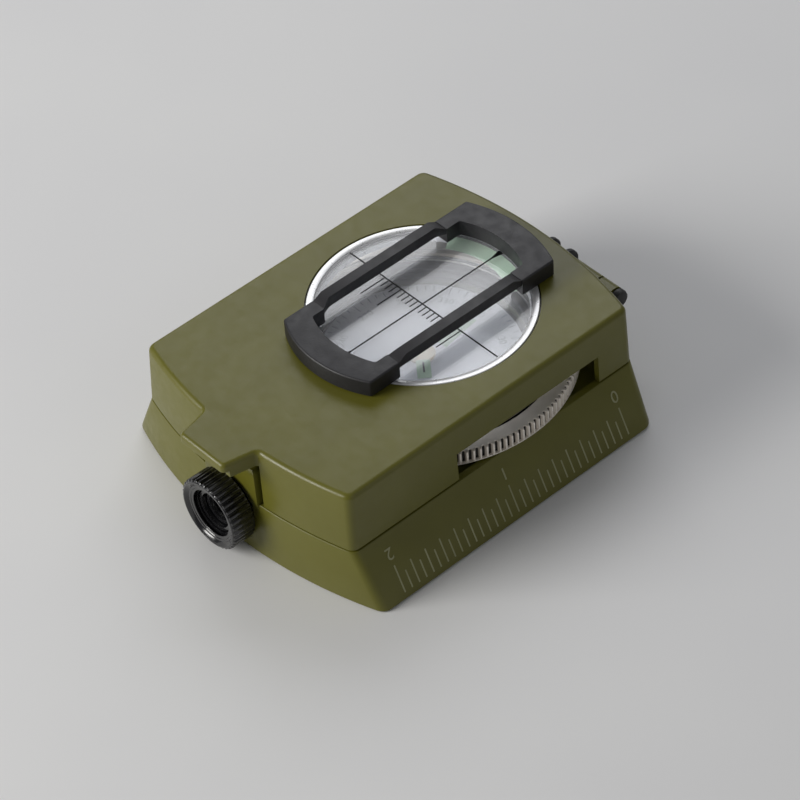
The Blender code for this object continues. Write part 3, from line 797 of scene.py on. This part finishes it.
def make_graticule():
    """The sighting lines on the glass: a line along the sight, a cross line and its scale."""
    low, high = GLASS_TOP + 0.004, GLASS_TOP + 0.03
    half, reach = LINE_HALF, LINE_REACH
    bars = [((-half, WINDOW_Y - reach), (half, WINDOW_Y + reach))]
    for side in (-1, 1):
        inner, outer = sorted((side * half, side * reach))
        bars.append(((inner, WINDOW_Y - half), (outer, WINDOW_Y + half)))
    for number in range(-9, 10):
        if number == 0:
            continue
        x = number * SCALE_STEP
        length = 5.5 if abs(number) in SCALE_LONG else 2.0
        bars.append(((x - 0.12, WINDOW_Y - length), (x + 0.12, WINDOW_Y - half)))
    pieces = []
    for number, (start, end) in enumerate(bars):
        pieces.append(block(f"line_{number}", (*start, low), (*end, high)))
    for side in (-1, 1):
        tip, root = WINDOW_Y + side * 15.9, WINDOW_Y + side * 18.0
        wedge = [(half, tip), (0.6, root), (-0.6, root), (-half, tip)]
        pieces.append(extruded(f"wedge_{side}", wedge, low, high))
    return joined("graticule", pieces)


def make_lume_pieces():
    """Luminous paint: a crescent under the window's far rim, and an index on the capsule."""
    below = frame_box_mm("window_glass")[0][2]
    crescent = curved_strip(
        "lume_crescent", (0, WINDOW_Y), 14.6, 17.8, 58, 122, below - 0.12, below - 0.01
    )
    top = frame_box_mm("capsule_glass")[1][2]
    turn = Matrix.Translation((0, CAPSULE_Y * MM, 0)) @ Matrix.Rotation(math.radians(-38), 4, "Z")
    patch = block("lume_index", (4.0, -1.2, top + 0.005), (8.4, 1.2, top + 0.05))
    line = block("index_line", (4.5, -0.16, top + 0.052), (7.0, 0.16, top + 0.075))
    for piece in (patch, line):
        piece.data.transform(turn)
    return crescent, patch, line


# ---------------------------------------------------------------- ruler and dial


def on_slope(height, y, out):
    """A point on the ruler face at a height, moved outwards by some distance."""
    tilt = math.atan(RULER_RUN)
    x = RULER_SIDE - RULER_RUN * height
    return Vector((x + out * math.cos(tilt), y, height + out * math.sin(tilt)))


def ruler_mark(name, y, length, width):
    """A thin raised line up the slope, with bevelled long edges."""
    half = width / 2
    rings = []
    for out, reach in ((-0.05, half), (MARK_PROUD * 0.5, half), (MARK_PROUD, half - 0.05)):
        foot = on_slope(RULER_FOOT, y, out)
        head = foot + SLOPE_UP * length
        side = Vector((0, reach, 0))
        rings.append([foot - side, foot + side, head + side, head - side])
    return loft(name, rings)


def make_ruler_marks():
    """The ruler's marks for each sixteenth of an inch: long, middling and short."""
    marks = []
    for number in range(33):
        y = INCH - number * INCH / 16
        if number % 16 == 0:
            length = INCH_MARK
        else:
            length = 4.4 if number % 2 == 0 else 3.3
        marks.append(ruler_mark(f"mark_{number}", y, length, 0.27))
    return joined("ruler_marks", marks)


def text_mesh(name, words, size, depth, matrix):
    """Words as a solid mesh, centred on the matrix's origin and lying in its XY plane."""
    curve = bpy.data.curves.new(name, "FONT")
    curve.body = words
    curve.size = size * MM
    curve.extrude = depth / 2 * MM
    curve.resolution_u = 6
    curve.align_x = "CENTER"
    curve.align_y = "CENTER"
    letters = placed(name, curve)
    mesh = evaluated_mesh(letters)
    bpy.data.objects.remove(letters)
    mesh.transform(matrix)
    return placed(name, mesh)


def make_ruler_numbers():
    """The inch numbers above their marks. They read the right way up with the lid end down."""
    numbers = []
    up = -SLOPE_UP
    across = Vector((0, -1, 0))
    normal = across.cross(up)
    for number in range(3):
        height = RULER_FOOT + INCH_MARK * SLOPE_UP.z + 2.0
        centre = on_slope(height, INCH - number * INCH, 0.0) * MM
        turn = Matrix((across, up, normal)).transposed().to_4x4()
        turn.translation = centre
        numbers.append(text_mesh(f"digit_{number}", str(number), 3.1, 2 * MARK_PROUD, turn))
    return joined("ruler_numbers", numbers)


def make_card_print():
    """The compass card's printing: marks each five degrees and numbers each thirty."""
    low, high = CARD_TOP + 0.004, CARD_TOP + 0.03
    pieces = []
    for number in range(72):
        angle = math.radians(number * 5)
        length = 1.8 if number % 6 == 0 else (1.2 if number % 2 == 0 else 0.8)
        mark = block(f"card_mark_{number}", (-0.09, 17.2 - length, low), (0.09, 17.2, high))
        turn = Matrix.Translation((0, CAPSULE_Y * MM, 0)) @ Matrix.Rotation(-angle, 4, "Z")
        mark.data.transform(turn)
        pieces.append(mark)
    for number in range(12):
        angle = math.radians(number * 30)
        turn = Matrix.Translation((0, CAPSULE_Y * MM, (CARD_TOP + 0.015) * MM))
        turn = turn @ Matrix.Rotation(-angle, 4, "Z") @ Matrix.Translation((0, 13.9 * MM, 0))
        pieces.append(text_mesh(f"card_number_{number}", str(number * 30), 1.9, 0.026, turn))
    return joined("card_print", pieces)


def make_card_arrow():
    """The luminous north arrow on the card."""
    low, high = CARD_TOP + 0.004, CARD_TOP + 0.05
    tip, root, half = 12.4, 4.2, 1.5
    outline = [(-half, CAPSULE_Y + root), (half, CAPSULE_Y + root), (0.25, CAPSULE_Y + tip)]
    outline.append((-0.25, CAPSULE_Y + tip))
    return extruded("card_arrow", outline, low, high)


# ---------------------------------------------------------------- small hardware


def make_screw(number, place):
    """A countersunk cover screw with a cross recess, seen from below."""
    profile = [
        (0, 0.15),
        (1.5, 0.15),
        (1.6, 0.22),
        (1.6, 0.35),
        (0.8, 1.0),
        (0.8, 5.2),
        (0, 5.6),
    ]
    screw = turned(f"cover_screw_{number}", profile, place, steps=48)
    cuts = []
    for wide, long in ((0.22, 0.95), (0.95, 0.22)):
        low = (place[0] - wide, place[1] - long, -0.5)
        high = (place[0] + wide, place[1] + long, 0.75)
        cuts.append(block(f"cut_recess_{wide}", low, high))
    return carved(screw, (), cuts)


def make_hinge_pieces():
    """The hinge pin, the spool in its middle and the caps on its two ends."""
    end = CAP_SPAN[1] - 0.9
    pin = rod("hinge_rod", HINGE, PIN_RADIUS, -end, end, "X", 48)
    inner, outer = PIN_HOLE, KNUCKLE
    span = BASE_KNUCKLE[0] - 0.4
    flange = span - 1.1
    half = [
        (inner, -span),
        (SPOOL_RADIUS - 0.2, -span),
        (SPOOL_RADIUS, -span + 0.2),
        (SPOOL_RADIUS, -flange - 0.2),
        (SPOOL_RADIUS - 0.2, -flange),
        (outer + 0.3, -flange),
        (outer, -flange + 0.3),
    ]
    profile = half + [(radius, -along) for radius, along in reversed(half)]
    spool = turned("cord_spool", profile, HINGE, "X", 64)
    caps = []
    for name, side in (("pin_cap_left", -1), ("pin_cap_right", 1)):
        near, far = (side * along for along in CAP_SPAN)
        floor = side * (end + GAP)
        shape = [(0, floor), (inner, floor), (inner, near), (outer - 0.15, near)]
        shape += [(outer, near + side * 0.15), (outer, far - side * 0.6)]
        shape += [(outer - 0.18, far - side * 0.2), (outer - 0.6, far), (0, far)]
        caps.append(turned(name, shape, HINGE, "X", 48))
    return pin, spool, caps


def smooth_copy(node, name):
    """A welded, smoothly shaded copy of a CAD node whose shape is already fine enough."""
    shape = bmesh.new()
    shape.from_mesh(frame["nodes"][node].data)
    bmesh.ops.remove_doubles(shape, verts=shape.verts, dist=1e-6)
    copy = meshed(name, shape)
    normals = copy.data.attributes.get("custom_normal")
    if normals:
        copy.data.attributes.remove(normals)
    return shaded(copy)


# ---------------------------------------------------------------- materials


def new_material(name):
    """A node material, with its tree and its shader."""
    made = bpy.data.materials.new(name)
    made.use_nodes = True
    tree = made.node_tree
    return made, tree, tree.nodes["Principled BSDF"]


def noise(tree, scale, detail=3.0, roughness=0.55):
    """Noise over object coordinates. scale is in cycles for each millimetre."""
    where = tree.nodes.new("ShaderNodeTexCoord")
    made = tree.nodes.new("ShaderNodeTexNoise")
    made.inputs["Scale"].default_value = scale / MM
    made.inputs["Detail"].default_value = detail
    made.inputs["Roughness"].default_value = roughness
    tree.links.new(where.outputs["Object"], made.inputs["Vector"])
    return made.outputs["Fac"]


def ramp(tree, value, low, high):
    """Maps 0.3 to 0.7 of a noise onto low to high."""
    made = tree.nodes.new("ShaderNodeMapRange")
    made.inputs["From Min"].default_value = 0.3
    made.inputs["From Max"].default_value = 0.7
    made.inputs["To Min"].default_value = low
    made.inputs["To Max"].default_value = high
    tree.links.new(value, made.inputs["Value"])
    return made.outputs["Result"]


def mixed(tree, share, first, second):
    """Mixes two colours, each a tuple or a socket."""
    made = tree.nodes.new("ShaderNodeMix")
    made.data_type = "RGBA"
    tree.links.new(share, made.inputs["Factor"])
    for key, value in (("A", first), ("B", second)):
        socket = next(item for item in made.inputs if item.name == key and item.type == "RGBA")
        if isinstance(value, tuple):
            socket.default_value = (*value, 1.0)
        else:
            tree.links.new(value, socket)
    return next(item for item in made.outputs if item.type == "RGBA")


def bumped(tree, shader, height, distance):
    made = tree.nodes.new("ShaderNodeBump")
    made.inputs["Distance"].default_value = distance * MM
    made.inputs["Strength"].default_value = 1.0
    tree.links.new(height, made.inputs["Height"])
    tree.links.new(made.outputs["Normal"], shader.inputs["Normal"])


def edge_share(tree, radius, low, high):
    """How close a point is to a sharp outside edge, from 0 to 1."""
    rounded = tree.nodes.new("ShaderNodeBevel")
    rounded.samples = 4
    rounded.inputs["Radius"].default_value = radius * MM
    flat = tree.nodes.new("ShaderNodeNewGeometry")
    dot = tree.nodes.new("ShaderNodeVectorMath")
    dot.operation = "DOT_PRODUCT"
    tree.links.new(rounded.outputs["Normal"], dot.inputs[0])
    tree.links.new(flat.outputs["Normal"], dot.inputs[1])
    made = tree.nodes.new("ShaderNodeMapRange")
    made.inputs["From Min"].default_value = low
    made.inputs["From Max"].default_value = high
    made.inputs["To Min"].default_value = 1.0
    made.inputs["To Max"].default_value = 0.0
    tree.links.new(dot.outputs["Value"], made.inputs["Value"])
    return made.outputs["Result"]


def times(tree, first, second):
    made = tree.nodes.new("ShaderNodeMath")
    made.operation = "MULTIPLY"
    tree.links.new(first, made.inputs[0])
    if isinstance(second, float):
        made.inputs[1].default_value = second
    else:
        tree.links.new(second, made.inputs[1])
    return made.outputs[0]


def coated(name, colours, roughness, peel, worn=None, coat=(0.0, 0.2), specular=0.5):
    """Paint or plastic: two colours in soft patches, a fine skin and lighter edges.

    peel is the skin's noise scale and height, worn the edges' colour and share, and coat the
    clear coat's weight and roughness.
    """
    made, tree, shader = new_material(name)
    colour = mixed(tree, ramp(tree, noise(tree, 0.12), 0.0, 1.0), colours[0], colours[1])
    if worn:
        chips = ramp(tree, noise(tree, 1.2, 5.0, 0.7), 0.0, 1.0)
        share = times(tree, edge_share(tree, 0.35, 0.72, 0.97), times(tree, chips, worn[1]))
        colour = mixed(tree, share, colour, worn[0])
    tree.links.new(colour, shader.inputs["Base Color"])
    fine = ramp(tree, noise(tree, 0.5, 4.0), *roughness)
    tree.links.new(fine, shader.inputs["Roughness"])
    bumped(tree, shader, noise(tree, peel[0], 3.0, 0.6), peel[1])
    shader.inputs["Specular IOR Level"].default_value = specular
    shader.inputs["Coat Weight"].default_value = coat[0]
    shader.inputs["Coat Roughness"].default_value = coat[1]
    return made


def machined(name, colours, roughness, metallic=1.0, marks=(3.0, 0.004), painted_shade=None):
    """Bare metal with patchy tarnish. marks is the noise scale and height of its fine marks.

    painted_shade gives a ring's centre y, radius and top; its notches and grooves then get painted
    shade, a near black.
    """
    made, tree, shader = new_material(name)
    colour = mixed(tree, ramp(tree, noise(tree, 0.35, 4.0), 0.0, 1.0), colours[0], colours[1])
    if painted_shade:
        # painted shade: the ring's notches and grooves are mixed towards near black, standing in
        # for shade between the teeth
        colour = mixed(tree, low_places(tree, *painted_shade), colour, (0.02, 0.018, 0.017))
    tree.links.new(colour, shader.inputs["Base Color"])
    tree.links.new(ramp(tree, noise(tree, 0.8, 4.0), *roughness), shader.inputs["Roughness"])
    bumped(tree, shader, noise(tree, marks[0], 2.0), marks[1])
    shader.inputs["Metallic"].default_value = metallic
    return made


def mapped(tree, value, start, end):
    """Maps start to end onto 0 to 1. Both are in millimetres."""
    made = tree.nodes.new("ShaderNodeMapRange")
    made.inputs["From Min"].default_value = start * MM
    made.inputs["From Max"].default_value = end * MM
    tree.links.new(value, made.inputs["Value"])
    return made.outputs["Result"]


def low_places(tree, centre_y, radius, top):
    """1 in the notches and grooves of a ring about a vertical axis, 0 on its lands: where shade is
    painted.
    """
    where = tree.nodes.new("ShaderNodeTexCoord")
    flat = tree.nodes.new("ShaderNodeVectorMath")
    flat.operation = "MULTIPLY_ADD"
    flat.inputs[1].default_value = (1, 1, 0)
    flat.inputs[2].default_value = (0, -centre_y * MM, 0)
    tree.links.new(where.outputs["Object"], flat.inputs[0])
    reach = tree.nodes.new("ShaderNodeVectorMath")
    reach.operation = "LENGTH"
    tree.links.new(flat.outputs["Vector"], reach.inputs[0])
    parts = tree.nodes.new("ShaderNodeSeparateXYZ")
    tree.links.new(where.outputs["Object"], parts.inputs["Vector"])
    inside = mapped(tree, reach.outputs["Value"], radius + 0.25, radius)
    below = mapped(tree, parts.outputs["Z"], top - 0.1, top - 0.3)
    return times(tree, inside, below)


def clear(name, tint, roughness, ior, painted_reflection):
    """Glass or clear plastic with a pale diffuse share, a painted reflection that lightens what is
    seen through. Rays from lamps pass, and light what is below.
    """
    made, tree, shader = new_material(name)
    shader.inputs["Base Color"].default_value = (*tint, 1.0)
    # painted reflection: this share of the surface is a pale diffuse sheet instead of clear glass
    shader.inputs["Transmission Weight"].default_value = 1.0 - painted_reflection
    shader.inputs["IOR"].default_value = ior
    smudge = ramp(tree, noise(tree, 0.25, 4.0), *roughness)
    tree.links.new(smudge, shader.inputs["Roughness"])
    path = tree.nodes.new("ShaderNodeLightPath")
    gap = tree.nodes.new("ShaderNodeBsdfTransparent")
    gap.inputs["Color"].default_value = (*tint, 1.0)
    mix = tree.nodes.new("ShaderNodeMixShader")
    out = tree.nodes["Material Output"]
    tree.links.new(path.outputs["Is Shadow Ray"], mix.inputs[0])
    tree.links.new(shader.outputs["BSDF"], mix.inputs[1])
    tree.links.new(gap.outputs["BSDF"], mix.inputs[2])
    tree.links.new(mix.outputs["Shader"], out.inputs["Surface"])
    return made


def make_looks():
    """Every material of the scene, by the record's slot where it has one."""
    # the bezel's notches and grooves, where shade is painted
    notches = (CAPSULE_Y, BEZEL_RADIUS - 0.6, BEZEL_TOP)
    olive = ((0.118, 0.112, 0.013), (0.13, 0.124, 0.016))
    black = ((0.004, 0.004, 0.005), (0.008, 0.008, 0.009))
    frame_colours = ((0.012, 0.0115, 0.0135), (0.02, 0.019, 0.022))
    scuffed = (0.07, 0.07, 0.07)
    champagne = ((0.96, 0.9, 0.81), (0.84, 0.78, 0.7))
    plated = ((0.93, 0.93, 0.93), (0.84, 0.84, 0.85))
    return {
        "olive_paint": coated(
            "olive paint", olive, (0.3, 0.42), (1.3, 0.004),
            worn=((0.2, 0.19, 0.06), 0.45), coat=(0.05, 0.15), specular=0.4,
        ),
        "black_metal": coated(
            "black metal", black, (0.12, 0.28), (2.5, 0.004),
            worn=(scuffed, 0.5), coat=(0.5, 0.08),
        ),
        "frame_black": coated(
            "frame black", frame_colours, (0.38, 0.55), (2.2, 0.03),
            worn=(scuffed, 0.3), coat=(0.05, 0.2),
        ),
        "mark_paint": coated(
            "mark paint", ((0.36, 0.36, 0.2), (0.26, 0.26, 0.13)), (0.4, 0.6), (3.0, 0.01)
        ),
        "card_white": coated(
            "card white", ((0.74, 0.74, 0.8), (0.8, 0.8, 0.86)), (0.4, 0.6), (2.0, 0.003)
        ),
        "card_ink": coated(
            "card ink", ((0.36, 0.36, 0.4), (0.44, 0.44, 0.48)), (0.5, 0.7), (3.0, 0.002)
        ),
        "line_ink": coated(
            "line ink", ((0.006, 0.006, 0.007), (0.012, 0.012, 0.014)), (0.4, 0.6), (3.0, 0.002)
        ),
        "lume": coated("lume", ((0.36, 0.55, 0.36), (0.46, 0.62, 0.44)), (0.5, 0.7), (2.5, 0.01)),
        "rubber": coated(
            "rubber", ((0.01, 0.01, 0.01), (0.02, 0.02, 0.02)), (0.4, 0.6), (2.0, 0.02)
        ),
        # the bezel's notches and grooves get painted shade
        "bezel_metal": machined("bezel metal", champagne, (0.27, 0.42), 0.45, painted_shade=notches),
        "silver_ring": machined("silver ring", plated, (0.25, 0.35), 0.55, (2.0, 0.002)),
        "steel": machined("steel", ((0.55, 0.55, 0.55), (0.42, 0.42, 0.43)), (0.22, 0.4)),
        "brass": machined("brass", ((0.56, 0.45, 0.25), (0.42, 0.33, 0.17)), (0.25, 0.42)),
        "glass": clear("glass", (0.97, 0.985, 0.98), (0.0, 0.03), 1.5, 0.03),
        # the window glass's 0.15 pale diffuse share paints the sky's reflection over the dial
        "window_glass": clear("window glass", (0.95, 0.96, 0.99), (0.0, 0.03), 1.6, 0.15),
        "clear_plastic": clear("clear plastic", (0.93, 0.95, 0.95), (0.03, 0.1), 1.45, 0.1),
    }


# ---------------------------------------------------------------- the object


def dress(piece, look, body, slot=None, nodes=()):
    """Gives a piece its material, body and the CAD nodes it stands for. slot is not used."""
    piece.data.materials.clear()
    piece.data.materials.append(look)
    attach(piece, body)
    if nodes:
        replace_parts(piece, *nodes)
    return piece


def build(looks):
    """Makes every fine piece, and hides the CAD nodes behind them."""
    dress(make_base(), looks["olive_paint"], "base", "olive_paint", ["base_shell"])
    dress(make_lid(), looks["olive_paint"], "lid", "olive_paint", ["lid_shell"])
    dress(make_sight_frame(), looks["frame_black"], "sight", "frame_black", ["sight_frame"])
    dress(make_bezel(), looks["bezel_metal"], "bezel", "bezel_metal", ["bezel_ring"])
    dress(make_focus_ring(), looks["black_metal"], "focus", "black_metal", ["focus_ring"])
    dress(make_window_pane(), looks["window_glass"], "lid", "glass", ["window_glass"])
    dress(make_window_rim(), looks["silver_ring"], "lid", "silver_ring", ["window_ring"])
    dress(make_graticule(), looks["line_ink"], "lid", "frame_black")
    crescent, patch, line = make_lume_pieces()
    dress(crescent, looks["lume"], "lid", "card_white")
    dress(patch, looks["lume"], "base", "card_white")
    dress(line, looks["line_ink"], "base", "frame_black")
    dress(make_ruler_marks(), looks["mark_paint"], "base", "olive_paint")
    dress(make_ruler_numbers(), looks["mark_paint"], "base", "olive_paint")
    dress(make_card_print(), looks["card_ink"], "card", "card_white")
    dress(make_card_arrow(), looks["lume"], "card", "card_white")
    for number, place in enumerate(boss_places(), 1):
        screw = make_screw(number, place)
        dress(screw, looks["steel"], "base", "steel", [f"bottom_screw_{number}"])
    pin, spool, caps = make_hinge_pieces()
    dress(pin, looks["steel"], "base", "steel", ["hinge_pin"])
    dress(spool, looks["rubber"], "base", "rubber", ["hinge_spool"])
    for cap, node in zip(caps, ("hinge_cap_left", "hinge_cap_right")):
        dress(cap, looks["rubber"], "base", "rubber", [node])
    dress_rest(looks)


def dress_rest(looks):
    """Every CAD node that has no finer piece gets a smooth copy in its own finish."""
    slots = {row["node"]: row["material_slot"] for row in frame["record"]["subparts"]}
    bodies = frame["record"]["behaviour"]["bodies"]
    stood_for = set()
    for thing in bpy.context.scene.objects:
        stood_for.update(thing.get("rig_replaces", []))
    for body, nodes in bodies.items():
        for node in nodes:
            if node not in stood_for:
                copy = smooth_copy(node, node + "_fine")
                dress(copy, looks[slots[node]], body, slots[node], [node])


# ---------------------------------------------------------------- studio


def make_floor():
    """A pale floor, a hair below the underside so that the two don't share a plane."""
    size, depth = 3.0, 0.00005
    shape = bmesh.new()
    corners = [(-size, -size), (size, -size), (size, size), (-size, size)]
    shape.faces.new([shape.verts.new((x, y, -depth)) for x, y in corners])
    floor = meshed("floor", shape)
    made, tree, shader = new_material("pale floor")
    patches = ramp(tree, noise(tree, 0.01), 0.0, 1.0)
    colour = mixed(tree, patches, (0.74, 0.74, 0.75), (0.78, 0.78, 0.78))
    tree.links.new(colour, shader.inputs["Base Color"])
    shader.inputs["Roughness"].default_value = 0.55
    floor.data.materials.append(made)
    floor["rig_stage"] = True


def area_light(name, place, target, size, power, colour=(1, 1, 1)):
    """A rectangular lamp aimed at a target. Places and sizes are in metres, power in watts."""
    light = bpy.data.lights.new(name, "AREA")
    light.shape = "RECTANGLE"
    light.size, light.size_y = size
    light.energy = power
    light.color = colour
    thing = placed(name, light)
    thing.location = place
    aim = Vector(target) - Vector(place)
    thing.rotation_euler = aim.to_track_quat("-Z", "Y").to_euler()


def make_lights():
    """Three soft lamps round the compass, and a weak even sky."""
    middle = (0, 0, 0.012)
    area_light("key", (-0.3, -0.6, 0.34), middle, (0.4, 0.3), 4.6, (1.0, 0.985, 0.95))
    area_light("sky", (-0.42, 0.42, 0.52), middle, (0.7, 0.5), 1.9, (0.97, 0.98, 1.0))
    area_light("fill", (0.6, 0.1, 0.35), middle, (0.5, 0.5), 0.3)
    world = bpy.data.worlds.new("studio")
    world.use_nodes = True
    back = world.node_tree.nodes["Background"]
    back.inputs["Color"].default_value = (0.86, 0.87, 0.9, 1.0)
    back.inputs["Strength"].default_value = 0.18
    bpy.context.scene.world = world
    bpy.context.scene.view_settings.view_transform = "Standard"


def make_camera():
    """A camera at a compass direction and height angle, turned a little about its own axis."""
    azimuth, elevation, roll = (math.radians(angle) for angle in CAMERA_ANGLES)
    right = Vector((math.cos(azimuth), math.sin(azimuth), 0))
    back = Vector((
        math.sin(azimuth) * math.cos(elevation),
        -math.cos(azimuth) * math.cos(elevation),
        math.sin(elevation),
    ))
    up = back.cross(right)
    rolled_right = math.cos(roll) * right + math.sin(roll) * up
    rolled_up = -math.sin(roll) * right + math.cos(roll) * up
    data = bpy.data.cameras.new("camera")
    data.sensor_width = CAMERA_SENSOR
    data.lens = CAMERA_LENS
    camera = placed("camera", data)
    matrix = Matrix((rolled_right, rolled_up, back)).transposed().to_4x4()
    matrix.translation = (Vector(CAMERA_TARGET) + back * CAMERA_DISTANCE) * MM
    camera.matrix_world = matrix
    bpy.context.scene.camera = camera


make_camera()
build(make_looks())
make_floor()
make_lights()

[[list(corner) for corner in box] for box in (cad_bounds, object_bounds())]
